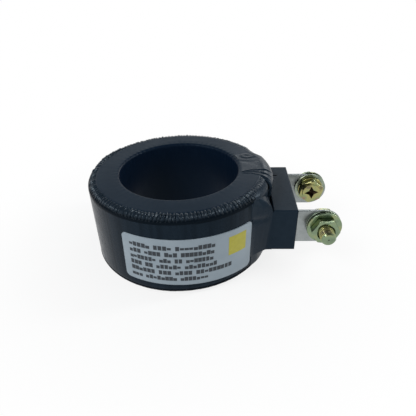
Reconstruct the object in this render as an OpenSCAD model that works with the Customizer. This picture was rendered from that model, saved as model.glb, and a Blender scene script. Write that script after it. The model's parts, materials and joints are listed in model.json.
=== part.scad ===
// Ring-type current transformer with a taped core and a two-stud terminal block.
// Millimetres. +Z runs along the bore, +X points to the terminal block, and the
// origin is the centre of the bore at half the ring's height.

/* [Ring] */
// Diameter of the open bore
bore_d = 50; // [44:1:55]
// Outer diameter over the smooth band
ring_od = 76; // [72:1:90]
// Height between the two flat faces
ring_h = 35; // [32:1:50]
// Round on the two bore edges
bore_edge_r = 1.2; // [0.8:0.1:1.6]
// Thickness of the black tape jacket
jacket_t = 0.8; // [0.6:0.1:1.2]
// Thickness of the smooth film band round the outer wall
band_t = 0.7; // [0.4:0.1:1]
// Thickness of the film over the winding
film_t = 0.3; // [0.2:0.1:0.6]

/* [Core and winding] */
// Build of the copper winding on every side of the core
winding_t = 1.9; // [1.2:0.1:2.2]
// Thickness of the wraps inside and outside the core
core_wrap_t = 0.5; // [0.3:0.1:0.8]
// Thickness of the insulating rings on the core's ends
end_ring_t = 0.8; // [0.5:0.1:1.5]

/* [Rim gathers] */
// Radial width of the gathered shoulder
rim_w = 3.8; // [3:0.1:5]
// Height of the gathered shoulder
rim_drop = 2; // [1.6:0.1:3]
// Folds in a full turn
gather_count = 96; // [60:1:130]
// Height of a fold above the valley beside it
gather_depth = 0.5; // [0.2:0.1:0.7]
// How far the shoulder bellies out between its edges
gather_bulge = 0.55; // [0.4:0.05:0.8]

/* [Binding tape] */
// Thickness of the two tape loops that bind the ring beside the block
binding_t = 0.3; // [0.2:0.05:0.4]
// First edge of the loop on the -Y side, degrees from +X
loop_1_from = -38; // [-44:1:-34]
// Last edge of the loop on the -Y side, degrees from +X
loop_1_to = -17; // [-19:1:-14]
// First edge of the loop on the +Y side, degrees from +X
loop_2_from = -4; // [-8:1:0]
// Last edge of the loop on the +Y side, degrees from +X
loop_2_to = 30; // [29:1:40]

/* [Terminal block] */
// Width of the block across the two terminals
block_w = 37.6; // [37:0.2:46]
// Height of the block
block_h = 19.4; // [18:0.2:25]
// Depth of the block, away from the ring
block_d = 9.9; // [8.5:0.1:14]
// How far the block's middle lies below the ring's middle
block_drop = 0.8; // [0:0.1:2]
// Round on the block's edges
block_edge_r = 0.5; // [0.3:0.1:1.2]
// Depth of the wiring pocket in the block's back
pocket_d = 4.5; // [3.5:0.1:5]
// Height of the wiring pocket
pocket_h = 10; // [7:0.5:13]
// Length of the small slot in the block's top
slot_l = 4.6; // [3:0.1:6]
// Width of the small slot in the block's top
slot_w = 0.9; // [0.6:0.1:1.5]
// Place of the small slot across the block
slot_y = 10.3; // [6:0.1:12]

/* [Terminal tabs] */
// Distance between the middles of the two tabs
tab_pitch = 30.4; // [28:0.2:32]
// Width of a tab
tab_w = 15; // [14:0.5:17]
// Thickness of a tab
tab_t = 1.5; // [1:0.1:2]
// From the block's face to the tab's hole
hole_reach = 11.1; // [8:0.1:16]
// How far the hole lies above the tab's middle
hole_rise = 1.1; // [0:0.1:2]

/* [Fasteners] */
// Diameter of the terminal screws
screw_d = 6; // [5:0.5:6]
// Length of a screw under its head
screw_l = 12; // [12:0.5:16]
// Across the flats of a screw head
head_af = 10; // [9.5:0.5:11]
// Height of a screw head
head_h = 3.4; // [3:0.1:4]
// Across the flats of a nut
nut_af = 10; // [9.5:0.5:11]
// Height of a nut
nut_h = 3.4; // [3:0.1:3.8]
// Outer diameter of the flat washers
washer_od = 14; // [12:0.5:16]
// Thickness of the flat washers
washer_t = 0.8; // [0.6:0.1:1]
// Outer diameter of the spring washers
spring_od = 11.4; // [10.5:0.1:12]
// Thickness of the spring washers, clamped flat
spring_t = 1; // [0.8:0.1:1.2]
// Radial clearance of the washers on the screw
washer_play = 0.2; // [0.1:0.05:0.3]
// Radial running clearance of the nut on the screw
thread_play = 0.05; // [0.03:0.01:0.1]
// How much thinner a screw's free end is, on the radius, so that a lug slips over it
lead_step = 0.2; // [0.18:0.01:0.3]
// From the nut to where the thinner free end starts
lead_gap = 0.3; // [0.2:0.1:1]
// Reach of the cross recess across the head
recess_span = 5.2; // [4:0.1:6]
// Width of the recess slots
recess_w = 1.1; // [0.8:0.1:1.4]
// Depth of the cross recess
recess_depth = 2; // [1:0.1:2.5]

/* [Leads] */
// Diameter of the winding's lead wires
wire_d = 1.4; // [1:0.1:1.8]
// Wall of the sleeve on each lead
sleeve_t = 0.4; // [0.3:0.05:0.6]

/* [Label] */
// Length of the label round the ring
label_w = 53.5; // [40:0.5:56]
// Height of the label
label_h = 21.4; // [18:0.2:22]
// From the label's end to the tape loop beside it
label_gap = 1; // [0.8:0.1:8]
// Thickness of the label
label_t = 0.15; // [0.1:0.05:0.3]
// Thickness of the ink fields
ink_t = 0.05; // [0.03:0.01:0.1]
// Corner round of the label
label_r = 2; // [1:0.1:3]
// How far the label's middle lies below the ring's middle
label_drop = 1.7; // [0:0.1:1.8]
// Lean of the label, degrees
label_lean = -1.8; // [-3:0.1:3]
// Side of the yellow field
patch_w = 8.5; // [5:0.1:10]
// Height of a row of print
row_h = 1.5; // [1:0.1:1.8]
// Distance between two rows of print
row_pitch = 2.9; // [2:0.1:3]

/* [Hidden] */
$fn = 64;

// Film gap that keeps folded tape clear of what it lies on
skin_gap = 0.02;
// Overshoot of a cut past the face it opens
cut = 1;

// Radii of the ring's layers, from the bore outwards
bore_r = bore_d / 2;
film_ri = bore_r + jacket_t;
winding_ri = film_ri + film_t;
inner_wrap_ri = winding_ri + winding_t;
core_ri = inner_wrap_ri + core_wrap_t;
band_r = ring_od / 2;
jacket_r = band_r - band_t;
film_ro = jacket_r - jacket_t;
winding_ro = film_ro - film_t;
outer_wrap_ro = winding_ro - winding_t;
core_ro = outer_wrap_ro - core_wrap_t;

// Half heights of the same layers
half_h = ring_h / 2;
film_h = half_h - jacket_t;
winding_h = film_h - film_t;
stack_h = winding_h - winding_t;
core_h = stack_h - end_ring_t;

// Radius at which the flat faces end and the shoulders start
crest_r = band_r - rim_w;
// Shoulder of the jacket under the gathers, as [width, height]
shoulder = [jacket_r - crest_r, rim_drop];
film_shoulder = inset(shoulder, jacket_t);
winding_shoulder = inset(film_shoulder, film_t);

// Inner edge of the tape loops, just past the bore's round
loop_ri = bore_r + bore_edge_r + 0.3;

// The block's back is tangent to the binding tape
block_back = band_r + binding_t;
block_face = block_back + block_d;
block_z = -block_drop;
tab_y = tab_pitch / 2;
hole_x = block_face + hole_reach;
hole_z = block_z + hole_rise;
// Half the width of the wiring pocket
pocket_y = tab_y + wire_d / 2 + sleeve_t + 0.4;
// Where the tab starts, inside the pocket
tab_root = block_back + pocket_d - 1;
// The fillets between the ring and the block's back start this far from the middle
fillet_y = 5;
// Gap that stays open between a fillet's sloped top and the block
fillet_gap = 0.4;
// How far a fillet's sloped top rises above the block at the ring
fillet_rise = 5;

// Leads
wire_r = wire_d / 2;
sleeve_r = wire_r + sleeve_t;
lead_start = sqrt(pow(winding_ro, 2) - pow(tab_y + sleeve_r, 2)) - 0.3;
sleeve_end = tab_root - 1.2;

// Screws
screw_r = screw_d / 2;
// A flat and a spring washer more lie on the outer side of tab 1 and on the inner side of tab 2
pair_t = washer_t + spring_t;
function head_start(side) = -tab_t / 2 - (side > 0 ? pair_t : 0);
function clamp_end(side) = tab_t / 2 + (side < 0 ? pair_t : 0) + washer_t;
function screw_tip(side) = head_start(side) + screw_l;
lead_r = screw_r - lead_step;
// Width of the cut through a spring washer
spring_split = 0.9;
// Corner chamfer on heads, nuts and screw tips
edge_chamfer = 0.6;

// Label
label_z = -label_drop;
// Middle of the label, degrees from -Y towards +X
label_angle = 90 + loop_1_from - (label_w / 2 + label_gap) / band_r * 180 / PI;
ink_r = band_r + label_t;
// Printed rows: how much of the text field each one fills
row_fill = [0.82, 0.81, 0.8, 0.84, 1, 0.75];
// Words in each row
row_words = [3, 4, 4, 4, 4, 3];
// Width of the space between two words
word_gap = 1.1;
text_w = label_w * 0.75;
// Left edge of the text field, from the label's middle
text_left = -label_w / 2 + 3.2;
// Middle of the yellow field, from the label's middle
patch_x = label_w / 2 - patch_w / 2 - 3.4;
patch_z = label_h / 2 - patch_w / 2 - 2.6;

// Size of a shoulder [width, height] on the face a distance t further in
function inset(s, t) =
    let (len = norm(s), nr = s[1] / len, nz = s[0] / len)
    [s[0] - t + t * (1 - nz) / nr, s[1] - t + t * (1 - nr) / nz];

// Section of the ring from ri to ro, 2 h high, with its two outer corners cut off
function ring_section(ri, ro, h, s) = [
    [ri, -h], [ro - s[0], -h], [ro, -h + s[1]], [ro, h - s[1]], [ro - s[0], h], [ri, h]];

// Plain ring between two radii and two heights
module ring(ri, ro, z0, z1) {
    translate([0, 0, z0]) difference() {
        cylinder(r = ro, h = z1 - z0, $fn = 96);
        translate([0, 0, -cut]) cylinder(r = ri, h = z1 - z0 + 2 * cut, $fn = 96);
    }
}

// Holes along X where the two leads cross the ring and the block's back
module lead_holes(r, x0, x1) {
    for (side = [-1, 1])
        translate([x0, side * tab_y, block_z]) rotate([0, 90, 0]) cylinder(r = r, h = x1 - x0);
}

// ---- Core and winding

module core() color("dimgray") ring(core_ri, core_ro, -core_h, core_h);

module core_end_ring_top() color("burlywood") ring(core_ri, core_ro, core_h, stack_h);

module core_end_ring_bottom() color("burlywood") ring(core_ri, core_ro, -stack_h, -core_h);

module core_inner_wrap() color("wheat") ring(inner_wrap_ri, core_ri, -stack_h, stack_h);

module core_outer_wrap() color("wheat") ring(core_ro, outer_wrap_ro, -stack_h, stack_h);

module secondary_winding() color("peru") difference() {
    rotate_extrude($fn = 96)
        polygon(ring_section(winding_ri, winding_ro, winding_h, winding_shoulder));
    ring(inner_wrap_ri, outer_wrap_ro, -stack_h, stack_h);
    lead_holes(sleeve_r, lead_start, winding_ro + cut);
}

module winding_film() color("lemonchiffon") difference() {
    rotate_extrude($fn = 96) difference() {
        polygon(ring_section(film_ri, film_ro, film_h, film_shoulder));
        polygon(ring_section(winding_ri, winding_ro, winding_h, winding_shoulder));
    }
    lead_holes(sleeve_r, lead_start, winding_ro + cut);
}

// ---- Tape and band

// Section of the jacket: rounded at the bore, with shoulders under the gathers
module jacket_section() {
    difference() {
        polygon(ring_section(bore_r, jacket_r, half_h, shoulder));
        for (m = [0, 1]) mirror([0, m, 0])
            translate([bore_r, half_h - bore_edge_r]) difference() {
                translate([-cut, 0]) square([bore_edge_r + cut, bore_edge_r + cut]);
                translate([bore_edge_r, 0]) circle(r = bore_edge_r);
            }
        polygon(ring_section(film_ri, film_ro, film_h, film_shoulder));
    }
}

// Seat that lets one tape loop lie flush with the flat bottom
module loop_seat(from, to) {
    rotate([0, 0, from]) rotate_extrude(angle = to - from, $fn = 96)
        translate([loop_ri, -half_h - cut]) square([rim_w + band_r, binding_t + cut]);
}

module tape_jacket() color("#20272f") difference() {
    rotate_extrude($fn = 96) jacket_section();
    loop_seat(loop_1_from, loop_1_to);
    loop_seat(loop_2_from, loop_2_to);
    lead_holes(sleeve_r, lead_start, jacket_r + cut);
}

module outer_band() color("#1d242c") difference() {
    ring(jacket_r, band_r, -half_h + rim_drop, half_h - rim_drop);
    lead_holes(sleeve_r, lead_start, band_r + cut);
}

// Fold pattern over one gather, from valley to valley
gather_shape = [0, 1, 0.55];
// Steps along the outside of a gather
gather_steps = 5;
// Rise of a fold's crest above the flat face
crest_rise = 0.2;
// Width of the lip that a free fold lays on the flat face
lip_w = 0.6;

// Height of the folds at step i: neighbours differ, so that they don't look alike
function fold(i) = gather_shape[i % 3] * (0.78 + 0.22 * sin(i * 53) * cos(i * 17));

// Outside of the gathered shoulder at share s of its slope, where f is the fold's height
function gather_point(s, f) =
    let (run = [rim_w, -rim_drop], out = [rim_drop, rim_w] / norm(run))
    [crest_r, half_h + skin_gap] + [run[0] * s, (run[1] + skin_gap) * s]
    + out * (sin(180 * s) * (gather_bulge + gather_depth * f)
        + (1 - s) * crest_rise * (0.4 + 0.6 * f));

// Section of the gathered shoulder. Pressed folds lie level with the flat face,
// and free ones rise above it and end in a lip.
function gather_section(f, pressed) =
    let (outside = [for (k = [0 : gather_steps]) gather_point(k / gather_steps, f)],
        seat = [jacket_r + skin_gap, half_h - rim_drop + 2 * skin_gap])
    pressed
        ? concat([for (p = outside) [p[0], min(p[1], half_h)]], [seat])
        : concat([[crest_r - lip_w, half_h + skin_gap]], outside,
            [seat, [crest_r + skin_gap, half_h + skin_gap]]);

// Gathered shoulder from one angle to another, as one swept solid
module gathers(from, to, pressed) {
    count = max(3, round(gather_count * (to - from) / 360) * 3);
    rows = [for (i = [0 : count]) gather_section(fold(i), pressed)];
    width = len(rows[0]);
    points = [for (i = [0 : count], p = rows[i])
        let (a = from + (to - from) * i / count) [p[0] * cos(a), p[0] * sin(a), p[1]]];
    sides = [for (i = [0 : count - 1], k = [0 : width - 1])
        let (n = (k + 1) % width)
        [i * width + k, i * width + n, (i + 1) * width + n, (i + 1) * width + k]];
    first = [for (k = [width - 1 : -1 : 0]) k];
    last = [for (k = [0 : width - 1]) count * width + k];
    polyhedron(points, concat(sides, [first], [last]), convexity = 8);
}

// The gathers run where no tape loop covers them, with a hair of room at each end
module rim_gathers(pressed) {
    gathers(loop_2_to + 0.1, loop_1_from + 359.9, pressed);
    gathers(loop_1_to + 0.1, loop_2_from - 0.1, pressed);
}

module rim_gathers_top() color("#232b34") rim_gathers(false);

module rim_gathers_bottom() color("#232b34") mirror([0, 0, 1]) rim_gathers(true);

// Rounded outer corner of a tape loop, from its flat face down to the wall
function loop_corner(top, drop) = [for (a = [0 : 15 : 90])
    [crest_r + (rim_w + binding_t) * sin(a), top - drop * (1 - cos(a))]];

// Tape loop round the ring's section. Its foot lies in a seat, flush with the bottom.
module tape_loop(from, to) {
    seat_r = crest_r + shoulder[0] * binding_t / rim_drop;
    top = loop_corner(half_h + binding_t, rim_drop + 0.7);
    foot = [for (p = loop_corner(half_h, rim_drop + 0.4)) [p[0], -p[1]]];
    inside = [
        [loop_ri, -half_h + binding_t], [seat_r, -half_h + binding_t],
        [jacket_r, -half_h + rim_drop], [band_r, -half_h + rim_drop],
        [band_r, half_h - rim_drop], [jacket_r, half_h - rim_drop],
        [crest_r, half_h], [loop_ri, half_h]];
    rotate([0, 0, from]) rotate_extrude(angle = to - from, $fn = 96)
        polygon(concat([[loop_ri, half_h + binding_t]], top,
            [for (k = [len(foot) - 1 : -1 : 0]) foot[k]], [[loop_ri, -half_h]], inside));
}

module binding_tape_1() color("#262f39") difference() {
    tape_loop(loop_1_from, loop_1_to);
    lead_holes(sleeve_r, lead_start, block_back + cut);
}

module binding_tape_2() color("#262f39") difference() {
    tape_loop(loop_2_from, loop_2_to);
    lead_holes(sleeve_r, lead_start, block_back + cut);
}

// ---- Terminal block

// Fillets that carry the block: each fills the corner between the round ring and the
// block's back, from near the middle out to the block's side, under a sloped top
module bond_pad() color("#171c22") difference() {
    intersection() {
        for (side = [-1, 1]) scale([1, side, 1])
            translate([0, 0, -half_h]) linear_extrude(ring_h) polygon([
                [block_back * cos(loop_1_from), -block_back * sin(loop_1_from) - 0.5],
                [block_back - fillet_gap, block_w / 2 - block_edge_r],
                [block_back, block_w / 2 - block_edge_r - 2],
                [block_back, fillet_y], [block_back / 2, fillet_y]]);
        rotate([90, 0, 0]) linear_extrude(2 * block_w, center = true) polygon([
            [0, block_z - block_h / 2], [block_back, block_z - block_h / 2],
            [block_back, block_z + pocket_h / 2], [block_back - fillet_gap, block_z + block_h / 2],
            [block_back - fillet_rise, block_z + block_h / 2 + fillet_rise - 1],
            [0, block_z + block_h / 2 + fillet_rise - 1]]);
    }
    translate([0, 0, -half_h - cut]) cylinder(r = block_back, h = ring_h + 2 * cut, $fn = 96);
    lead_holes(sleeve_r, lead_start, block_back + cut);
}

// Rectangle with round corners, centred on the origin
module round_rect(w, h, r) {
    square([w - 2 * r, h], center = true);
    square([w, h - 2 * r], center = true);
    for (x = [-1, 1], y = [-1, 1])
        translate([x * (w / 2 - r), y * (h / 2 - r)]) circle(r = r);
}

// Box with all its edges rounded, from x = 0 to x = d
module round_box(d, w, h, r) {
    translate([d / 2, 0, 0]) intersection() {
        linear_extrude(h, center = true) round_rect(d, w, r);
        rotate([90, 0, 0]) linear_extrude(w, center = true) round_rect(d, h, r);
        rotate([90, 0, 90]) linear_extrude(d, center = true) round_rect(w, h, r);
    }
}

// Space of the wiring pocket
module pocket() {
    translate([block_back, -pocket_y, block_z - pocket_h / 2])
        cube([pocket_d, 2 * pocket_y, pocket_h]);
}

module terminal_block() color("#2b333c") difference() {
    translate([block_back, 0, block_z]) round_box(block_d, block_w, block_h, block_edge_r);
    translate([block_back - cut, -pocket_y, block_z - pocket_h / 2])
        cube([pocket_d + cut, 2 * pocket_y, pocket_h]);
    for (side = [-1, 1]) tab_blank(side);
    translate([block_back, slot_y - slot_w / 2, block_z + block_h / 2 - 1])
        cube([slot_l, slot_w, 1 + cut]);
}

// Resin that fills the wiring pocket round the leads and the tabs' roots
module block_potting() color("#0f1216") difference() {
    pocket();
    for (side = [-1, 1]) tab_blank(side);
    lead_holes(sleeve_r, block_back - cut, sleeve_end);
    lead_holes(wire_r, sleeve_end - cut, tab_root + cut);
}

// Tab without its hole: a strip with a round end about the hole's place
module tab_blank(side) {
    translate([0, side * tab_y + tab_t / 2, 0]) rotate([90, 0, 0]) linear_extrude(tab_t) {
        translate([tab_root, block_z - tab_w / 2]) square([hole_x - tab_root, tab_w]);
        translate([hole_x, block_z]) circle(d = tab_w);
    }
}

module terminal_tab(side) {
    difference() {
        tab_blank(side);
        on_screw(side) translate([0, 0, -tab_t])
            cylinder(r = screw_r + washer_play, h = 2 * tab_t);
    }
}

module terminal_tab_1() color("#9a9ea3") terminal_tab(-1);

module terminal_tab_2() color("#9a9ea3") terminal_tab(1);

// Lead wire from the winding to the root of its tab
module lead_wire(side) {
    translate([lead_start, side * tab_y, block_z]) rotate([0, 90, 0])
        cylinder(r = wire_r, h = tab_root - lead_start);
}

module lead_wire_1() color("#b87333") lead_wire(-1);

module lead_wire_2() color("#b87333") lead_wire(1);

module lead_sleeve(side) {
    translate([lead_start, side * tab_y, block_z]) rotate([0, 90, 0]) difference() {
        cylinder(r = sleeve_r, h = sleeve_end - lead_start);
        translate([0, 0, -cut]) cylinder(r = wire_r, h = sleeve_end - lead_start + 2 * cut);
    }
}

module lead_sleeve_1() color("#7d2f2a") lead_sleeve(-1);

module lead_sleeve_2() color("#3b4a63") lead_sleeve(1);

// ---- Fasteners, each drawn along its own +Z, which points away from the other terminal

// Puts its children on the screw of one terminal, with z = 0 in the tab's middle
module on_screw(side) {
    translate([hole_x, side * tab_y, hole_z]) rotate([-side * 90, 0, 0]) children();
}

// Hexagon prism with both rims chamfered, standing on z = 0
module hexagon(af, h, turn) {
    corner_r = af / sqrt(3);
    intersection() {
        rotate([0, 0, turn]) cylinder(r = corner_r, h = h, $fn = 6);
        rotate_extrude($fn = 64) polygon([[0, 0], [corner_r - edge_chamfer, 0],
            [corner_r, edge_chamfer / 2], [corner_r, h - edge_chamfer / 2],
            [corner_r - edge_chamfer, h], [0, h]]);
    }
}

module flat_washer(side, z0) {
    on_screw(side) ring(screw_r + washer_play, washer_od / 2, z0, z0 + washer_t);
}

// Spring washer with its cut, clamped flat
module spring_washer(side, z0, turn) {
    on_screw(side) difference() {
        ring(screw_r + washer_play, spring_od / 2, z0, z0 + spring_t);
        rotate([0, 0, turn]) translate([0, -spring_split / 2, z0 - cut])
            cube([spring_od, spring_split, spring_t + 2 * cut]);
    }
}

// Screw with a hexagon head, a cross recess and a free end past the nut. The head lies
// on the inner side, below z = 0.
module terminal_screw(side, turn) {
    head_z = head_start(side);
    tip_z = screw_tip(side);
    lead_z = clamp_end(side) + nut_h + lead_gap;
    on_screw(side) difference() {
        union() {
            translate([0, 0, head_z - head_h]) hexagon(head_af, head_h, turn);
            rotate_extrude($fn = 48) polygon([[0, head_z - cut], [screw_r, head_z - cut],
                [screw_r, lead_z], [lead_r, lead_z], [lead_r, tip_z - edge_chamfer],
                [lead_r - edge_chamfer, tip_z], [0, tip_z]]);
        }
        translate([0, 0, head_z - head_h + recess_depth / 2 - cut / 2])
            for (a = [0, 90]) rotate([0, 0, a])
                cube([recess_span, recess_w, recess_depth + cut], center = true);
    }
}

module terminal_nut(side, turn) {
    hole_r = screw_r + thread_play;
    mouth_r = screw_r + 0.4;
    on_screw(side) translate([0, 0, clamp_end(side)]) difference() {
        hexagon(nut_af, nut_h, turn);
        translate([0, 0, -cut]) cylinder(r = hole_r, h = nut_h + 2 * cut);
        translate([0, 0, nut_h - 0.4]) cylinder(r1 = hole_r, r2 = mouth_r, h = 0.4);
    }
}

module terminal_screw_1() color("#a8a05c") terminal_screw(-1, 0);

module terminal_screw_2() color("#a8a05c") terminal_screw(1, 40);

module head_spring_washer_2() color("#8f8f58") spring_washer(1, head_start(1), 150);

module head_flat_washer_2() color("#93977f") flat_washer(1, -tab_t / 2 - washer_t);

module tab_flat_washer_1() color("#8d9390") flat_washer(-1, tab_t / 2);

module clamp_spring_washer_1() color("#a59a5f") spring_washer(-1, tab_t / 2 + washer_t, 70);

module clamp_flat_washer_1() color("#7f9a6a") flat_washer(-1, clamp_end(-1) - washer_t);

module clamp_flat_washer_2() color("#7f9a6a") flat_washer(1, clamp_end(1) - washer_t);

module terminal_nut_1() color("#87a077") terminal_nut(-1, 0);

module terminal_nut_2() color("#87a077") terminal_nut(1, 30);

// ---- Label, cut from a thin shell by prisms that stand on its middle

// Keeps what its flat children cover of a shell from r0 to r1
module on_label(r0, r1) {
    intersection() {
        ring(r0, r1, -half_h, half_h);
        rotate([0, 0, label_angle]) translate([0, 0, label_z])
            rotate([90, 0, 0]) linear_extrude(band_r * 2) rotate([0, 0, label_lean]) children();
    }
}

// Distance x along the label, seen square on to its middle
function flat_x(x) = band_r * sin(x / band_r * 180 / PI);

// Upright rectangle on the label between two places along it
module field(x0, x1, z, h) {
    translate([flat_x(x0), z - h / 2]) square([flat_x(x1) - flat_x(x0), h]);
}

module label_base() color("#aab6c4") on_label(band_r, ink_r)
    round_rect(2 * flat_x(label_w / 2), label_h, label_r);

module label_patch() color("#c9c23a") on_label(ink_r, ink_r + ink_t)
    field(patch_x - patch_w / 2, patch_x + patch_w / 2, patch_z, patch_w);

// Rows of word-like bars
module label_print() color("#2a3440") on_label(ink_r, ink_r + ink_t)
    for (row = [0 : len(row_fill) - 1]) {
        words = row_words[row];
        word_w = (text_w * row_fill[row] - (words - 1) * word_gap) / words;
        z = row_pitch * ((len(row_fill) - 1) / 2 - row) - 0.4;
        for (k = [0 : words - 1]) {
            x0 = text_left + k * (word_w + word_gap);
            field(x0, x0 + word_w, z, row_h);
        }
    }

core();
core_end_ring_top();
core_end_ring_bottom();
core_inner_wrap();
core_outer_wrap();
secondary_winding();
winding_film();
tape_jacket();
outer_band();
rim_gathers_top();
rim_gathers_bottom();
binding_tape_1();
binding_tape_2();
bond_pad();
terminal_block();
block_potting();
terminal_tab_1();
terminal_tab_2();
lead_wire_1();
lead_wire_2();
lead_sleeve_1();
lead_sleeve_2();
terminal_screw_1();
terminal_screw_2();
head_spring_washer_2();
head_flat_washer_2();
tab_flat_washer_1();
clamp_spring_washer_1();
clamp_flat_washer_1();
clamp_flat_washer_2();
terminal_nut_1();
terminal_nut_2();
label_base();
label_print();
label_patch();
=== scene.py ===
import json
import math

import bmesh
import bpy
import numpy as np
from mathutils import Matrix, Vector


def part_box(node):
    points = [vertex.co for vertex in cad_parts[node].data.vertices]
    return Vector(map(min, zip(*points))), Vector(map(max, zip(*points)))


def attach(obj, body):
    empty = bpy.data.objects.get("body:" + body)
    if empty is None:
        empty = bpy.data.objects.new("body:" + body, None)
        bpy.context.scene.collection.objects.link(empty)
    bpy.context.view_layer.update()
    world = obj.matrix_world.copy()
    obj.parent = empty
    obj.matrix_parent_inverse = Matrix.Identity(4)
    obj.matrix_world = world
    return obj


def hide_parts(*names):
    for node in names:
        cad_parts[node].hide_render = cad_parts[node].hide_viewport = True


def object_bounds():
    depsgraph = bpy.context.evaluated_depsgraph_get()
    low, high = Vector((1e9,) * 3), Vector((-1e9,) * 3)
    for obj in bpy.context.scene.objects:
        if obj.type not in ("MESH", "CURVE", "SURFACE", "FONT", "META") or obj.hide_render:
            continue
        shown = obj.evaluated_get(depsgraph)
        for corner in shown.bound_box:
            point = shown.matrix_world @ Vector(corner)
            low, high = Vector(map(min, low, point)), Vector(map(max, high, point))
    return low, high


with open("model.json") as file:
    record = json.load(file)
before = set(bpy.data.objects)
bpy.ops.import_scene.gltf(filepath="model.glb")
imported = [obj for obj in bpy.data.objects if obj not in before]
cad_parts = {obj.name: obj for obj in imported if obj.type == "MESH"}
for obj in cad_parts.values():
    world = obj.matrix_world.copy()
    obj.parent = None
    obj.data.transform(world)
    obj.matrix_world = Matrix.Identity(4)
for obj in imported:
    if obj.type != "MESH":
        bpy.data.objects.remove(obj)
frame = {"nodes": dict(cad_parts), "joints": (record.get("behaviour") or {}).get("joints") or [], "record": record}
cad_low, cad_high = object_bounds()

# Shapes are in millimetres, in the frame of the CAD model, and become metres as their meshes are made.
# Lights and camera are in metres.
MM = 0.001


def box_mm(node):
    """Lowest and highest corner of a CAD node, in millimetres."""
    low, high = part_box(node)
    return np.array(low) / MM, np.array(high) / MM


def named(rows, name):
    """The row of a list that has this name."""
    return next(row for row in rows if row["name"] == name)


# ---- Sizes taken from the frame

BORE_R = named(frame["record"]["mounts"], "bore")["dims"]["r_mm"]
HALF_H = box_mm("tape_jacket")[1][2]
BAND_R = box_mm("outer_band")[1][0]
BAND_TOP = box_mm("outer_band")[1][2]
BLOCK_LOW, BLOCK_HIGH = box_mm("terminal_block")
TAB_LOW, TAB_HIGH = box_mm("terminal_tab_2")
TAB_T = TAB_HIGH[1] - TAB_LOW[1]
TAB_Z = (TAB_LOW[2] + TAB_HIGH[2]) / 2
TAB_HALF_W = (TAB_HIGH[2] - TAB_LOW[2]) / 2
HOLE = np.array(named(frame["joints"], "nut_2_turn")["pos_m"]) / MM
WASHER_R = np.ptp(box_mm("tab_flat_washer_1"), 0)[0] / 2
SPRING_R = np.ptp(box_mm("clamp_spring_washer_1"), 0)[0] / 2

# ---- Sizes of the looks

# Screws and nuts, and their width across flats
SCREW_R = 3.0
HEAD_H = 3.4
THREAD_PITCH = 1.0
FLATS = 10.0
# Width of the rounded rim between the flat face and the wall
RIM_W = 3.8
# Thickness of a binding tape
TAPE_T = 0.3
# Turns of the jacket's tape round the ring
TURNS = 66
# Paths of the tape's top face lie this far above the CAD model's, and its hem this far outside the band
TAPE_RISE = 0.4
HEM_OVERHANG = 0.3
# No tape stands higher than this
TAPE_TOP = HALF_H + 0.98
# The brim of the tape web behind the block stops this far short of it
WEB_GAP = 0.9
# How far the ribs behind the block reach towards the ring at their foot
CHEEK = 1.9
# Tint of the shine on dark plastics
TINT = (0.60, 0.82, 1.0)


# ---- Mesh tools

def add(name, data):
    """A new object in the scene."""
    thing = bpy.data.objects.new(name, data)
    bpy.context.scene.collection.objects.link(thing)
    return thing


def make_mesh(name, form, material, replaces, smooth=40, body="root"):
    """A piece of the object from points in millimetres and faces. Edges past smooth degrees stay sharp."""
    points, faces = form
    mesh = bpy.data.meshes.new(name)
    mesh.from_pydata((np.asarray(points) * MM).tolist(), [], faces)
    shape = bmesh.new()
    shape.from_mesh(mesh)
    bmesh.ops.recalc_face_normals(shape, faces=shape.faces)
    shape.to_mesh(mesh)
    shape.free()
    return dress(add(name, mesh), material, replaces, smooth, body)


def dress(piece, material, replaces, smooth, body="root"):
    """Gives a piece its shading, material and body, and hides the CAD nodes it replaces."""
    piece.data.polygons.foreach_set("use_smooth", [True] * len(piece.data.polygons))
    piece.data.set_sharp_from_angle(angle=math.radians(smooth))
    piece.data.materials.clear()
    piece.data.materials.append(material)
    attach(piece, body)
    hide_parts(*replaces)
    return piece


def loops(rows, full_turn):
    """Faces between closed loops of points, one loop per row. Without a full turn, both ends are capped."""
    n, m = rows.shape[:2]
    i = np.arange(n if full_turn else n - 1)[:, None]
    k = np.arange(m)[None, :]
    j = (i + 1) % n
    q = (k + 1) % m
    faces = np.stack([i * m + k, i * m + q, j * m + q, j * m + k], -1).reshape(-1, 4).tolist()
    if not full_turn:
        faces += [list(range(m))[::-1], list(range((n - 1) * m, n * m))]
    return rows.reshape(-1, 3), faces


def thick_sheet(outer, inner):
    """Points and faces of the solid between two grids of the same shape."""
    n, m = outer.shape[:2]
    i, k = np.arange(n - 1)[:, None], np.arange(m - 1)[None, :]
    quads = np.stack([i * m + k, i * m + k + 1, (i + 1) * m + k + 1, (i + 1) * m + k], -1).reshape(-1, 4)
    rim = ([(0, c) for c in range(m)] + [(r, m - 1) for r in range(1, n)]
           + [(n - 1, c) for c in range(m - 2, -1, -1)] + [(r, 0) for r in range(n - 2, 0, -1)])
    rim = np.array([r * m + c for r, c in rim])
    after = np.roll(rim, -1)
    under = n * m
    sides = np.stack([rim, after, after + under, rim + under], -1)
    faces = np.concatenate([quads, quads[:, ::-1] + under, sides]).tolist()
    return np.concatenate([outer.reshape(-1, 3), inner.reshape(-1, 3)]), faces


def turned(radius, height, degrees):
    """Points about an axis from radius, height and angle arrays."""
    radius, height, a = np.broadcast_arrays(radius, height, np.radians(degrees))
    return np.stack([radius * np.cos(a), radius * np.sin(a), height], -1)


def arc(centre, rx, rz, start, end, count):
    """Points along an ellipse, from one angle to another in degrees."""
    a = np.radians(np.linspace(start, end, count))
    return np.stack([centre[0] + rx * np.cos(a), centre[1] + rz * np.sin(a)], -1)


def line(a, b, count):
    """Points from a up to b, without b."""
    t = np.arange(count)[:, None] / count
    return np.asarray(a) * (1 - t) + np.asarray(b) * t


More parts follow.
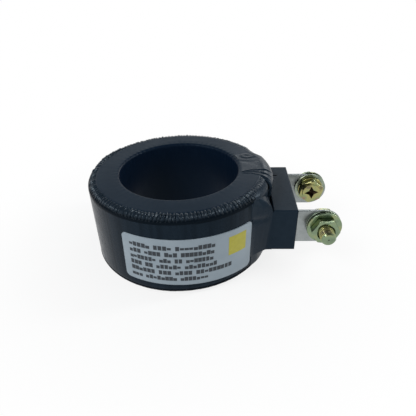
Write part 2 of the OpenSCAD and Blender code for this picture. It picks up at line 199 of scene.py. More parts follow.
def normals_of(path):
    """Unit normals to the left of a path, the outside of the ring's section."""
    step = np.gradient(path, axis=0)
    n = np.stack([-step[:, 1], step[:, 0]], -1)
    return n / np.linalg.norm(n, axis=1)[:, None]


def smoothstep(low, high, x):
    t = np.clip((x - low) / (high - low), 0, 1)
    return t * t * (3 - 2 * t)


def between(x, rise, full, fade, end):
    """0 up to rise, 1 from full to fade and 0 again past end, with smooth slopes."""
    return smoothstep(rise, full, x) * (1 - smoothstep(fade, end, x))


def ridge(x, centre, width):
    """Smooth hump across x."""
    return np.exp(-((x - centre) / width) ** 2)


def ripple(degrees, seed, low, high, falloff=1.0):
    """Noise round the ring between about -1 and 1, made of whole numbers of waves."""
    rng = np.random.default_rng(seed)
    waves = np.arange(low, high + 1)
    height = rng.normal(size=len(waves)) * waves ** -falloff
    phase = rng.uniform(0, 2 * np.pi, len(waves))
    a = np.radians(np.asarray(degrees))[..., None]
    total = (height * np.cos(waves * a + phase)).sum(-1)
    return total / (np.abs(height).sum() * 0.55)


def around(fine, coarse):
    """Angles round the ring, closer together on the side with the most detail."""
    start, end = -175, 45
    near = np.arange(start, end, fine)
    far = np.arange(near[-1] + fine, start + 360 - coarse / 2, coarse)
    return np.concatenate([near, far])


# ---- Materials

class Nodes:
    """Short calls for building the nodes of a material or a world."""

    def __init__(self, owner):
        owner.use_nodes = True
        self.tree = owner.node_tree
        self.tree.nodes.clear()
        self.coordinates = self.new("ShaderNodeTexCoord").outputs

    def new(self, kind, inputs=None, operation=None):
        """A new node, with each input linked to a socket or set to a value."""
        node = self.tree.nodes.new(kind)
        if operation:
            node.operation = operation
        for key, value in (inputs or {}).items():
            self.put(node.inputs[key], value)
        return node

    def put(self, socket, value):
        if isinstance(value, bpy.types.NodeSocket):
            self.tree.links.new(value, socket)
        else:
            socket.default_value = value

    def place(self, scale=(1, 1, 1)):
        """The object's own coordinates in millimetres, stretched."""
        inputs = {"Vector": self.coordinates["Object"], "Scale": [s / MM for s in scale]}
        return self.new("ShaderNodeMapping", inputs).outputs["Vector"]

    def noise(self, size, where=None, detail=3, roughness=0.5):
        """Noise with features of about this many millimetres."""
        inputs = {"Vector": where or self.place(), "Scale": 1 / size, "Detail": detail,
                  "Roughness": roughness}
        return self.new("ShaderNodeTexNoise", inputs).outputs["Fac"]

    def length(self, vector):
        return self.new("ShaderNodeVectorMath", {0: vector}, "LENGTH").outputs["Value"]

    def up(self, vector):
        """Third part of a vector, its height."""
        return self.new("ShaderNodeSeparateXYZ", {0: vector}).outputs["Z"]

    def spread(self, value, low, high, to_low, to_high):
        """Maps a value from one range to another, clamped."""
        inputs = {"Value": value, "From Min": low, "From Max": high, "To Min": to_low, "To Max": to_high}
        return self.new("ShaderNodeMapRange", inputs).outputs["Result"]

    def ramp(self, value, *stops):
        """Colours along a value, from (place, colour) stops."""
        ramp = self.new("ShaderNodeValToRGB", {"Fac": value})
        elements = ramp.color_ramp.elements
        while len(elements) < len(stops):
            elements.new(0.5)
        for element, (place, colour) in zip(elements, stops):
            element.position = place
            element.color = (*colour, 1)
        return ramp.outputs["Color"]

    def math(self, operation, a, b):
        return self.new("ShaderNodeMath", {0: a, 1: b}, operation).outputs["Value"]

    def bump(self, value, height, before=None):
        """Bump of this many millimetres, laid over an earlier one."""
        inputs = {"Height": value, "Distance": height * MM}
        if before:
            inputs["Normal"] = before
        return self.new("ShaderNodeBump", inputs).outputs["Normal"]


class Finish(Nodes):
    """Nodes of one material with a principled shader."""

    def __init__(self, name):
        self.material = bpy.data.materials.new(name)
        super().__init__(self.material)
        self.shader = self.new("ShaderNodeBsdfPrincipled")
        self.output = self.new("ShaderNodeOutputMaterial", {"Surface": self.shader.outputs["BSDF"]})

    def set(self, name, value):
        self.put(self.shader.inputs[name], value)


def tape_material(name, dark, pale, roughness, grain, gloss, tint=TINT, bore=False, streaks=False, painted_shade_heights=None):
    """Blue-black plastic tape: soft colour drift, smudged gloss and a fine grain. With bore, it is painted darker
    down in the bore, as shade. With streaks, its drift and grain run upright. With the two heights given last,
    it loses its gloss and half its colour from the second height down to the first, as painted shade."""
    n = Finish(name)
    n.set("IOR", 1.45)
    n.set("Specular IOR Level", gloss)
    n.set("Specular Tint", (*tint, 1))
    upright = n.place(scale=(1, 1, 0.05))
    drift = n.noise(2.2, upright, detail=4) if streaks else n.noise(7.0, detail=4)
    stops = [(0.3, dark), (0.7, pale)]
    # Painted shade: inside the bore the colour falls to a darker stop, standing in for the shade there
    if bore:
        radius = n.length(n.place(scale=(1, 1, 0)))
        drift = n.math("MULTIPLY", drift, n.spread(radius, BORE_R + 0.4, BORE_R + 1.0, 0.0, 1.0))
        stops = [(0.0, [c * k for c, k in zip(dark, (0.35, 0.5, 0.7))])] + stops
    # Painted shade: below the first height the colour drops to half of the dark tint and the shine falls away, up
    # to full at the second
    if painted_shade_heights:
        height = n.up(n.place())
        drift = n.math("MULTIPLY", drift, n.spread(height, *painted_shade_heights, 0.0, 1.0))
        stops = [(0.0, [c * 0.45 for c in dark])] + stops
        n.set("Specular IOR Level", n.spread(height, *painted_shade_heights, 0.04, gloss))
    n.set("Base Color", n.ramp(drift, *stops))
    smudge = n.noise(3.0, detail=5, roughness=0.6)
    n.set("Roughness", n.spread(smudge, 0.3, 0.7, roughness - 0.05, roughness + 0.07))
    fine = n.bump(n.noise(0.22, detail=2), grain)
    if streaks:
        fine = n.bump(n.noise(0.9, upright, detail=3), grain * 5, fine)
    n.set("Normal", n.bump(n.noise(1.6, detail=3), grain * 2.5, fine))
    return n.material


def plastic_material(name, dark, pale, roughness, grain, streak=0.0):
    """Moulded plastic with a fine grain and, where streak is set, faint tool marks along X."""
    n = Finish(name)
    n.set("Specular IOR Level", 0.12)
    n.set("Specular Tint", (*TINT, 1))
    n.set("Base Color", n.ramp(n.noise(2.5, detail=4), (0.3, dark), (0.7, pale)))
    n.set("Roughness", n.spread(n.noise(0.8, detail=4), 0.3, 0.7, roughness - 0.06, roughness + 0.08))
    normal = n.bump(n.noise(0.18, detail=2), grain)
    if streak:
        normal = n.bump(n.noise(0.35, n.place(scale=(0.08, 1, 1)), detail=3), streak, normal)
    n.set("Normal", normal)
    return n.material


def metal_material(name, patch, roughness, scratch, colours, brush=(1, 1, 1)):
    """Plated metal whose colour drifts between several tints, with a brushed or stamped grain."""
    n = Finish(name)
    n.set("Metallic", 1.0)
    drift = n.noise(patch, detail=2, roughness=0.55)
    stops = [(0.28 + 0.44 * k / (len(colours) - 1), c) for k, c in enumerate(colours)]
    n.set("Base Color", n.ramp(drift, *stops))
    n.set("Roughness", n.spread(n.noise(0.6, detail=4), 0.3, 0.7, roughness - 0.07, roughness + 0.1))
    grain = n.noise(0.25, n.place(scale=brush), detail=3)
    n.set("Normal", n.bump(n.noise(1.2, detail=3), scratch * 3, n.bump(grain, scratch)))
    return n.material


def plain_material(name, dark, pale, roughness, metallic=0.0, size=1.5):
    """Finish of the pieces that are sealed inside, and of the flat label and its print."""
    n = Finish(name)
    n.set("Metallic", metallic)
    n.set("Base Color", n.ramp(n.noise(size, detail=3), (0.3, dark), (0.7, pale)))
    n.set("Roughness", n.spread(n.noise(size / 2, detail=3), 0.3, 0.7, roughness - 0.05, roughness + 0.08))
    n.set("Normal", n.bump(n.noise(0.25, detail=2), 0.008))
    return n.material


# The jacket's tape is painted darker down in the bore, as shade
tape = tape_material("black_tape", (0.0095, 0.0185, 0.0315), (0.012, 0.022, 0.0365), 0.36, 0.004, 0.12,
                     bore=True)
# The hem is painted darker and without shine below 16.7 mm, as the shade under its folds
hem_tape = tape_material("hem_tape", (0.0085, 0.0155, 0.025), (0.0115, 0.02, 0.0315), 0.26, 0.004, 0.34,
                         tint=(0.74, 0.89, 1.0), painted_shade_heights=(16.7, 17.5))
film = tape_material("black_film", (0.0055, 0.0105, 0.017), (0.0105, 0.0185, 0.029), 0.26, 0.0025, 0.08,
                     streaks=True)
wrap_tape = tape_material("binding_tape", (0.0085, 0.016, 0.0265), (0.0115, 0.0205, 0.0325), 0.29, 0.004,
                          0.15)
block_plastic = plastic_material("block_plastic", (0.0085, 0.0165, 0.027), (0.0115, 0.0205, 0.0325), 0.42,
                                 0.006, 0.012)
resin = plastic_material("resin", (0.004, 0.005, 0.007), (0.008, 0.010, 0.013), 0.5, 0.03)
tab_metal = metal_material("tab_metal", 3.0, 0.40, 0.006, [
    (0.28, 0.305, 0.305), (0.31, 0.335, 0.335), (0.34, 0.365, 0.365)], brush=(1.6, 1, 0.1))
zinc_yellow = metal_material("zinc_yellow", 4.6, 0.19, 0.002, [
    (0.19, 0.17, 0.10), (0.37, 0.35, 0.14), (0.25, 0.30, 0.15), (0.29, 0.19, 0.13)])
zinc_green = metal_material("zinc_green", 4.2, 0.18, 0.002, [
    (0.15, 0.20, 0.14), (0.22, 0.29, 0.18), (0.30, 0.32, 0.16)])
zinc_grey = metal_material("zinc_grey", 4.0, 0.24, 0.002, [
    (0.14, 0.18, 0.14), (0.26, 0.31, 0.24), (0.34, 0.36, 0.28)])
# Painted shade: dark brown metal that stands in for the shade inside the screws' cross recess
recess_shade_metal = metal_material("recess_shade_metal", 1.5, 0.45, 0.003, [(0.05, 0.035, 0.022), (0.09, 0.06, 0.035)])
# Name, dark and pale tint, roughness, metallic and size of the drift
plain = {name: plain_material(name, *looks) for name, *looks in (
    ("label_film", (0.27, 0.33, 0.38), (0.31, 0.37, 0.42), 0.38, 0.0, 6.0),
    ("label_ink", (0.01, 0.017, 0.025), (0.015, 0.024, 0.034), 0.5),
    ("label_yellow", (0.42, 0.38, 0.035), (0.47, 0.43, 0.05), 0.42),
    ("core_steel", (0.16, 0.16, 0.17), (0.22, 0.22, 0.23), 0.4, 1.0),
    ("end_board", (0.42, 0.30, 0.16), (0.50, 0.37, 0.21), 0.7),
    ("core_wrap", (0.60, 0.54, 0.38), (0.68, 0.62, 0.45), 0.6),
    ("copper", (0.50, 0.17, 0.07), (0.60, 0.23, 0.10), 0.35, 1.0),
    ("clear_film", (0.55, 0.48, 0.25), (0.62, 0.55, 0.31), 0.35),
    ("sleeve_red", (0.22, 0.02, 0.015), (0.27, 0.03, 0.02), 0.45),
    ("sleeve_blue", (0.02, 0.05, 0.16), (0.03, 0.07, 0.20), 0.45))}

# CAD nodes that are shown as they are, by material
KEPT_NODES = [
    (plain["core_steel"], ["core"]), (plain["end_board"], ["core_end_ring_top", "core_end_ring_bottom"]),
    (plain["core_wrap"], ["core_inner_wrap", "core_outer_wrap"]), (plain["clear_film"], ["winding_film"]),
    (plain["copper"], ["secondary_winding", "lead_wire_1", "lead_wire_2"]),
    (plain["sleeve_red"], ["lead_sleeve_1"]), (plain["sleeve_blue"], ["lead_sleeve_2"]),
    (block_plastic, ["terminal_block"]), (resin, ["block_potting"]),
]


def dress_kept_nodes():
    for material, nodes in KEPT_NODES:
        for node in nodes:
            slots = frame["nodes"][node].data.materials
            slots.clear()
            slots.append(material)


# ---- Ring: jacket, hems and band

def jacket_path():
    """Outside of the jacket's section, from the bottom shoulder through the bore to the top shoulder."""
    edge_r = 1.0
    edge_mid = BORE_R + edge_r
    crest_r = BAND_R - RIM_W
    side_r = BAND_R - 0.7
    top = HALF_H + TAPE_RISE + 0.15
    path = [line((side_r, -BAND_TOP), (crest_r, -HALF_H), 4),
            line((crest_r, -HALF_H), (edge_mid, -HALF_H), 12),
            arc((edge_mid, -HALF_H + edge_r), edge_r, edge_r, 270, 180, 7)[:-1],
            line((BORE_R, -HALF_H + edge_r), (BORE_R, top - edge_r), 14),
            arc((edge_mid, top - edge_r), edge_r, edge_r, 180, 90, 9)[:-1],
            line((edge_mid, top), (crest_r, top), 18),
            line((crest_r, top), (side_r, BAND_TOP), 5)]
    return np.concatenate(path)


def tape_steps(degrees, radius, height):
    """Grooves from 0 to 1 where each turn of the tape starts, fading out to the start of the next one."""
    slant = 1.6 * np.clip((radius - BORE_R) / 10, 0, 1) + 1.4 * height / HALF_H
    phase = (degrees + slant + 0.8 * ripple(degrees, 5, 5, 40)) * TURNS / 360
    share = phase - np.floor(phase)
    return between(share, 0, 0.12, 0.12, 1.0)


def tape_jacket():
    """Tape over the whole section: faint turns on the flats, puckers where they turn into the bore."""
    path = jacket_path()
    out = normals_of(path)
    degrees = around(fine=0.25, coarse=0.33)[:, None]
    r, z = path[None, :, 0], path[None, :, 1]
    near_bore = 1 - smoothstep(BORE_R + 0.6, BORE_R + 3.4, r)
    on_round = near_bore * smoothstep(HALF_H - 4.5, HALF_H - 0.6, np.abs(z))
    puckers = 0.5 + 0.5 * np.sin(np.radians(degrees) * TURNS + 2.2 * ripple(degrees, 3, 3, 25))
    puckers = puckers * (0.65 + 0.35 * ripple(degrees, 4, 8, 60))
    far_side = 0.35 + 0.65 * between(degrees, 0, 35, 140, 175)
    # The skin stands a little outside the path, and turns and puckers sink into it
    proud, proud_below = 0.21, 0.03
    sink = (0.005 * tape_steps(degrees, r, z) * (1 - 0.5 * on_round)
            + 0.13 * puckers * on_round * far_side
            + 0.05 * ripple(degrees, 6, 2, 9) * smoothstep(BORE_R + 1, BORE_R + 4, r)
            + 0.008 * ripple(degrees, 7, 30, 90)) - proud
    flat_bottom = (z < -HALF_H + 0.05) & (r > BORE_R + 1)
    sink = np.where(flat_bottom, -proud_below, sink)
    ring = turned(r - out[None, :, 0] * sink, z - out[None, :, 1] * sink, degrees)
    # Inner side of the skin, which is never seen
    inner_r = np.array([36.3, 33.8, 26.3, 26.3, 33.8, 36.3])
    inner_z = np.array([14.6, 16.5, 16.5, -16.5, -16.5, -14.6])
    skin = loops(np.concatenate([ring, turned(inner_r, inner_z, degrees)], 1), True)
    make_mesh("tape_jacket_skin", skin, tape, ["tape_jacket"], 60)


class Pleats:
    """Folds round the rim, each with its own width, height, reach and direction."""

    def __init__(self, seed, mean, spread):
        rng = np.random.default_rng(seed)
        widths = rng.uniform(mean - spread, mean + spread, int(360 / mean))
        self.widths = widths * 360 / widths.sum()
        self.starts = np.concatenate([[0], np.cumsum(self.widths)[:-1]])
        self.heights = rng.uniform(0.6, 1.0, len(widths))
        self.reach = rng.uniform(-1.0, 1.0, len(widths))
        self.backwards = rng.uniform(size=len(widths)) < 0.1

    def find(self, degrees):
        """Number of the fold at an angle, and how far across it the angle lies."""
        a = np.mod(degrees, 360)
        k = np.clip(np.searchsorted(self.starts, a, side="right") - 1, 0, len(self.starts) - 1)
        return k, np.clip((a - self.starts[k]) / self.widths[k], 0, 1)

    def height(self, degrees):
        """0 in the creases between folds and up to 1 on their crests."""
        k, u = self.find(degrees)
        u = np.where(self.backwards[k], 1 - u, u)
        return self.heights[k] * (0.5 - 0.5 * np.cos(2 * np.pi * u ** 0.7)) ** 0.8

    def end(self, degrees):
        """How far each fold's free end reaches, -1 to 1, blended between neighbours."""
        k, u = self.find(degrees)
        t = smoothstep(0.75, 1, u)
        return self.reach[k] * (1 - t) + self.reach[(k + 1) % len(self.reach)] * t


def rim_hem(name, seed, top):
    """Hem of the band, folded over the shoulder in pleats, with a ragged free end on the flat face."""
    if top:
        node, sign, fold_h, overhang = "rim_gathers_top", 1, 1, HEM_OVERHANG
        fine, coarse, count = 0.14, 0.26, 30
        free_r = BAND_R - RIM_W - 0.25
        crest, highest, widest = HALF_H + TAPE_RISE + 0.05, TAPE_TOP, BAND_R + 0.8
    else:
        node, sign, fold_h, overhang = "rim_gathers_bottom", -1, 0.25, 0
        fine, coarse, count = 0.3, 0.3, 20
        free_r = BAND_R - RIM_W + 0.15
        crest, highest, widest = HALF_H + 0.05, HALF_H - 0.01, BAND_R
    degrees = around(fine, coarse)[:, None]
    # 0 at the free end on the flat and 1 at the foot on the wall, and the angle between
    v = np.linspace(0, 1, count)[None, :]
    phi = np.radians(90 * v ** 0.85)
    lean = degrees + 1.3 * (v - 0.5) * ripple(degrees, seed + 2, 6, 30)
    pleats = Pleats(seed, 2.35, 0.55)
    folds = 0.75 * pleats.height(lean) + 0.18 * Pleats(seed + 1, 1.2, 0.35).height(lean)
    # Folds are full by the free end, gone on the wall, and lower near the block
    full = (0.8 + 0.2 * smoothstep(0.02, 0.12, v)) * (1 - 0.75 * smoothstep(0.34, 0.62, v))
    full = full * (1 - smoothstep(0.55, 0.85, v))
    quiet = 1 - 0.6 * between(degrees, -34, -27, 30, 36) - 0.35 * between(degrees, -10, -8, 30, 34)
    quiet = quiet * (0.8 + 0.2 * ripple(degrees, seed + 3, 2, 12))
    sag = -0.04 - 0.34 * ridge(v, 0.52, 0.22) if top else -0.30 * (1 - v)
    lift = folds * full * quiet * fold_h + sag
    start_r = free_r + 0.4 * pleats.end(degrees)
    width = BAND_R - 0.12 + overhang * (1 - smoothstep(0.6, 0.95, v)) - start_r
    foot = BAND_TOP - 0.25
    r = start_r + (width + lift) * np.sin(phi)
    z = foot + (crest - foot) * np.cos(phi) ** 0.9 + lift * np.cos(phi)
    z = z - 0.15 * (1 - smoothstep(0, 0.04, v))
    # Two last points close each loop under the tape
    edge = np.ones_like(degrees)
    r = np.concatenate([np.minimum(r, widest), (BAND_R - 0.9) * edge, start_r + 0.5], 1)
    z = np.concatenate([np.minimum(z, highest), foot * edge, (HALF_H - 0.45) * edge], 1)
    make_mesh(name, loops(turned(r, sign * z, degrees), True), hem_tape, [node], 70)


def film_band():
    """Smooth film round the wall, with soft waves, faint upright streaks and the step of its outer end."""
    degrees = around(fine=0.4, coarse=0.4)[:, None]
    t = np.linspace(0, 1, 40)[None, :]
    z = -BAND_TOP + 2 * BAND_TOP * t
    # The film's outer end lies at 118 degrees, with a small step, and the wall falls slowly towards it
    step_h = 0.06
    seam = np.mod(degrees - 118, 360)
    step = step_h * (1 - smoothstep(0, 2.5, seam)) + step_h * seam / 360
    wave = (0.05 * ripple(degrees, 21, 2, 8) + 0.035 * ripple(degrees + 2.0 * t, 22, 9, 36)
            * np.sin(np.pi * t) + 0.012 * ripple(degrees, 23, 60, 140))
    drawn_in = 0.22 * (1 - smoothstep(0.0, 0.04, t))
    r = BAND_R - 0.14 - step + wave - drawn_in
    outer = turned(np.minimum(r, BAND_R), z, degrees)
    inner = turned(BAND_R - 0.75, np.array([[BAND_TOP, -BAND_TOP]]), degrees)
    band = loops(np.concatenate([outer, inner], 1), True)
    make_mesh("film_band", band, film, ["outer_band"], 60)


# ---- Binding tape beside the block

def wrap_path(bulge):
    """Outside of the ring's section under a binding tape: top face, shoulder, wall, bottom."""
    start = BORE_R + 1.4
    crest_r = BAND_R - RIM_W
    wall_r = BAND_R + 0.05
    top, drop = HALF_H + TAPE_RISE, 3.4
    bottom, rise = -HALF_H, 2.4
    lobe_foot = BLOCK_HIGH[2] + 0.3
    lobe = [(wall_r + 0.05 + bulge, top - drop), (wall_r + 0.6 * bulge, lobe_foot + 1.2), (wall_r, lobe_foot)]
    path = [line((start, top), (crest_r, top), 34),
            arc((crest_r, top - drop), RIM_W + 0.1 + bulge, drop, 90, 0, 34)[:-1],
            line(lobe[0], lobe[1], 8),
            line(lobe[1], lobe[2], 6),
            line(lobe[2], (wall_r, bottom + rise), 34),
            arc((crest_r, bottom + rise), RIM_W + 0.05, rise - TAPE_T, 0, -90, 14)[:-1],
            line((crest_r, bottom + TAPE_T), (start + 0.1, bottom + TAPE_T), 10)]
    return np.concatenate(path)


def binding_wrap(name, node, edges, bulge, features, count, fade=0.02, edge_drop=0.0):
    """Tape loop round the ring's section. The edges give its two borders in degrees by distance along it."""
    path = wrap_path(bulge)
    out = normals_of(path)
    along = np.concatenate([[0], np.cumsum(np.linalg.norm(np.diff(path, axis=0), axis=1))])
    share = np.linspace(0, 1, count)[:, None]
    low, high = (np.interp(along, *edge) for edge in edges)
    degrees = low + (high - low) * share
    # The tape thins out at its two borders, and its inner side lies this deep under the path
    border = smoothstep(0, fade, share) * smoothstep(0, 0.035, 1 - share)
    deep = 0.6
    lift = (TAPE_T + 0.08) * (border - edge_drop) + features(degrees, along, share)
    on_bottom = path[:, 1] < -HALF_H + 2.0
    lift = np.where(on_bottom, np.minimum(lift, TAPE_T), lift)
    outer = turned(path[:, 0] + out[:, 0] * lift,
                   np.clip(path[:, 1] + out[:, 1] * lift, -HALF_H, TAPE_TOP), degrees)
    inner = turned(path[:, 0] - out[:, 0] * deep, path[:, 1] - out[:, 1] * deep, degrees)
    make_mesh(name, thick_sheet(outer, inner), wrap_tape, [node], 65)


def wrap_1_features(degrees, s, _share):
    """Upright streaks on the shoulder, a waist under it and a few soft creases, by distance s."""
    streaks = 0.05 * ripple(degrees * 3.0 + 0.6 * s, 31, 12, 60, 0.7) * between(s, 6.5, 9.0, 13.5, 17.0)
    waist = -0.16 * ridge(s, 13.2 + 0.6 * ripple(degrees * 4, 32, 2, 8), 0.8)
    puffs = 0.10 * ripple(degrees * 2.0 + 5 * s, 33, 4, 16) * between(s, 2, 6, 16, 20)
    return streaks + waist + puffs


def wrap_2_features(degrees, s, share):
    """Curved creases along the near border and the puffed, swirled end at the far one."""
    creases = sum(0.45 * depth * ridge(share, place + 0.03, 0.016) - depth * ridge(share, place, 0.012)
                  for place, depth in ((0.015 + 0.002 * s, 0.30), (0.05 + 0.011 * s, 0.30),
                                       (0.075 + 0.022 * s + 0.012 * np.sin(0.8 * s), 0.46)))
    creases = creases * (1 - smoothstep(10, 14, s))
    # The swirl's middle, and a degree of turn there in millimetres
    middle_s, middle_a, per_degree = 5.0, 22.5, 0.55
    puff_s = s - middle_s
    puff_a = (degrees - middle_a) * per_degree
    distance = np.sqrt((puff_s * 0.8) ** 2 + puff_a ** 2)
    turn = np.arctan2(puff_s, puff_a)
    swirl = 0.16 * ridge(distance, 0, 3.8) + 0.13 * np.sin(2.0 * distance + turn) * ridge(distance, 0, 4.2)
    soft = 0.05 * ripple(degrees * 2 + 3 * s, 41, 4, 20)
    return creases + swirl + soft


def binding_wraps():
    """The two loops. Distances along the path run from the bore over the top, the shoulder and the wall."""
    # Past the end of every path
    far = 60.0
    near_edges = [([0, 3, 7.8, 11, 14, far], [-36.5, -37.5, -38.2, -37.2, -38, -38]),
                  ([0, 4.2, 9.0, 12.5, 16, far], [-17.5, -16.2, -14.4, -17.8, -18.9, -18.5])]
    binding_wrap("binding_wrap_1", "binding_tape_1", near_edges, 0.25, wrap_1_features, 120, 0.4, 0.25)
    far_edges = [([0, 1.5, 4.3, 9.7, 14, far], [-12.5, -12, -11, -14, -15.5, -15]),
                 ([0, 1.8, 7.8, 11.5, 15, far], [30.5, 29.3, 25.4, 21.5, 26, 29])]
    binding_wrap("binding_wrap_2", "binding_tape_2", far_edges, 1.1, wrap_2_features, 170)


def web_top(x, y):
    """Height of the tape between ring and block: a puffed slope down to the block's top edge."""
    reach, soft = 7.2, 0.8
    away = np.clip((BLOCK_LOW[0] - WEB_GAP - x) / reach, 0, 1)
    slope = BLOCK_HIGH[2] + 0.1 + 8.6 * (1 - (1 - away) ** 2.2)
    past_crest = np.hypot(x, y) - BAND_R + RIM_W
    shoulder = HALF_H + 0.2 - 1.9 * np.clip(past_crest / RIM_W, 0, 1) ** 2
    shoulder = shoulder - 0.8 * np.clip(past_crest - RIM_W, 0, 9)
    # The lower of the two, blended softly
    return -soft * np.log(np.exp(-slope / soft) + np.exp(-shoulder / soft))


def joint_wrap(name, side):
    """Tape drawn from the ring's shoulder and wall to the block: an upright web under a puffed top."""
    corner = BLOCK_HIGH[1] - 0.1
    foot = BLOCK_LOW[2] + 0.05
    edge = BLOCK_LOW[0] - WEB_GAP
    # Seen from above, the brim runs along the block and then curves to the ring's wall
    meet, straight = math.radians(38.9), 69
    start = np.array([math.cos(meet), math.sin(meet)]) * (BAND_R + 0.02)
    bend = start + 1.8 * np.array([math.sin(meet), -math.cos(meet)])
    t = np.linspace(0, 1, 60)[:, None]
    curve = (1 - t) ** 2 * np.array([edge, corner]) + 2 * t * (1 - t) * bend + t ** 2 * start
    y = np.concatenate([np.linspace(4.6, corner, straight + 1)[:-1], curve[:, 1]])[:, None]
    brim = np.concatenate([np.full(straight, edge), curve[:, 0]])[:, None]
    web = np.concatenate([np.zeros(straight), t[:, 0]])[:, None]
    inner = np.sqrt((BAND_R - 1.6) ** 2 - y ** 2)
    # Top: from inside the ring out to the brim, which is rolled over
    share = np.sin(np.linspace(0, np.pi / 2, 40))[None, :]
    top_x = inner + (brim - inner) * share
    roll = np.minimum(0.7 + 3.6 * smoothstep(0, 0.5, web), 0.95 * (brim - inner))
    past = np.clip((top_x - brim + roll) / roll, 0, 1)
    streaks = 0.08 * ripple(y * 9 + 0.5 * top_x, 71, 8, 50, 0.6) * smoothstep(0.1, 0.4, share)
    top_z = web_top(top_x, y) + streaks - roll * (1 - np.sqrt(1 - 0.995 * past ** 2))
    # Side: from the brim down to the foot. It reaches the block, but for a hollow near the top
    down = np.linspace(0, 1, 34)[None, 1:] ** 1.2
    side_z = top_z[:, -1:] + (foot - top_z[:, -1:]) * down
    hollow = 1 - 0.93 * (1 - ridge(y, 10.8, 3.0))
    reach = WEB_GAP * (1 - hollow * smoothstep(BLOCK_HIGH[2] - 2.5, BLOCK_HIGH[2], side_z))
    top_x = top_x + WEB_GAP * (1 - hollow) * share ** 6 * (1 - web)
    lean = CHEEK * np.clip((BLOCK_HIGH[2] - side_z) / (BLOCK_HIGH[2] - BLOCK_LOW[2]), 0, 1)
    waist = 0.9 * ridge(side_z, 6.6 + 0.8 * ripple(y * 7, 72, 2, 9), 1.2)
    upright = 0.05 * ripple(y * 12, 73, 6, 40, 0.6)
    held = between(web, 0.02, 0.2, 0.8, 1)
    side_x = brim + reach * (1 - web) - (waist + upright) * held - lean * smoothstep(0, 0.02, web) * (1 - web)
    low_x = np.concatenate([side_x[:, -1:] - 0.3, inner], 1)
    x = np.concatenate([top_x, side_x, low_x], 1)
    z = np.concatenate([top_z, side_z, np.full_like(low_x, foot)], 1)
    rows = np.stack([x, side * np.broadcast_to(y, x.shape), z], -1)
    make_mesh(name, loops(rows, False), wrap_tape, ["bond_pad"], 60)


def block_cheek(name, side):
    """Sloped rib behind the block, flush with its end."""
    back, top, foot = BLOCK_LOW[0], BLOCK_HIGH[2] - 0.6, BLOCK_LOW[2] + 0.1
    outline = [(back + 0.5, top), (back, top), (back - CHEEK, foot), (back + 0.5, foot)]
    ends = [BLOCK_HIGH[1] - 6.0, BLOCK_HIGH[1] - 0.02]
    rows = np.array([[(x, side * y, z) for x, z in outline] for y in ends])
    make_mesh(name, loops(rows, False), block_plastic, ["bond_pad"])


# ---- Tabs

def tab(k, side):
    """Flat strip with a round, drilled end and softened edges."""
    name = f"tab_plate_{k}"
    y = side * HOLE[1]
    low, high = TAB_Z - TAB_HALF_W, TAB_Z + TAB_HALF_W
    outline = np.concatenate([line((TAB_LOW[0], low), (HOLE[0], low), 7),
                              arc((HOLE[0], TAB_Z), TAB_HALF_W, TAB_HALF_W, -90, 90, 33),
                              line((TAB_LOW[0], high), (HOLE[0], high), 7)[::-1]])
    shape = bmesh.new()
    for x, z in outline:
        shape.verts.new((x * MM, (y - TAB_T / 2) * MM, z * MM))
    shape.verts.ensure_lookup_table()
    face = shape.faces.new(shape.verts)
    grown = bmesh.ops.extrude_face_region(shape, geom=[face])["geom"]
    for v in (g for g in grown if isinstance(g, bmesh.types.BMVert)):
        v.co.y += TAB_T * MM
    bmesh.ops.recalc_face_normals(shape, faces=shape.faces)
    piece = add(name, mesh_of(shape, name))
    drill(piece, (HOLE[0], y - 2 * TAB_T, HOLE[2]), (HOLE[0], y + 2 * TAB_T, HOLE[2]), SCREW_R + 0.2)
    soften(piece, width=0.12, segments=2, angle=50)
    dress(piece, tab_metal, [f"terminal_tab_{k}"], 35)


def mesh_of(shape, name):
    """A mesh from a bmesh, which is freed."""
    mesh = bpy.data.meshes.new(name)
    shape.to_mesh(mesh)
    shape.free()
    return mesh


def apply_modifiers(piece):
    """Turns a piece's modifiers into its mesh."""
    graph = bpy.context.evaluated_depsgraph_get()
    done = bpy.data.meshes.new_from_object(piece.evaluated_get(graph))
    piece.modifiers.clear()
    piece.data = done


def drill(piece, start, end, radius):
    """Takes a round hole between two points, in millimetres, out of a piece."""
    start, end = Vector(start) * MM, Vector(end) * MM
    shape = bmesh.new()
    bmesh.ops.create_cone(shape, cap_ends=True, segments=48, radius1=radius * MM, radius2=radius * MM,
                          depth=(end - start).length)
    turn = (end - start).to_track_quat("Z", "Y").to_matrix().to_4x4()
    shape.transform(Matrix.Translation((start + end) / 2) @ turn)
    cutter = add("drill", mesh_of(shape, "drill"))
    cut = piece.modifiers.new("cut", "BOOLEAN")
    cut.operation = "DIFFERENCE"
    cut.solver = "EXACT"
    cut.object = cutter
    apply_modifiers(piece)
    bpy.data.objects.remove(cutter)


def soften(piece, width, segments, angle):
    """Rounds the edges sharper than an angle."""
    bevel = piece.modifiers.new("bevel", "BEVEL")
    bevel.width = width * MM
    bevel.segments = segments
    bevel.limit_method = "ANGLE"
    bevel.angle_limit = math.radians(angle)
    apply_modifiers(piece)


# ---- Fasteners, drawn about their own axis w = 0 in the middle of the tab and pointing outwards

def on_screw(points, side):
    """Moves points from a screw's own axes (u, v, w) to the frame."""
    u, v, w = np.moveaxis(points, -1, 0)
    return np.stack([HOLE[0] + u, side * (HOLE[1] + w), HOLE[2] + v], -1)


def ends_of(node, side):
    """Start and end of a CAD node along its screw's own axis."""
    low, high = box_mm(node)
    return sorted([side * low[1] - HOLE[1], side * high[1] - HOLE[1]])


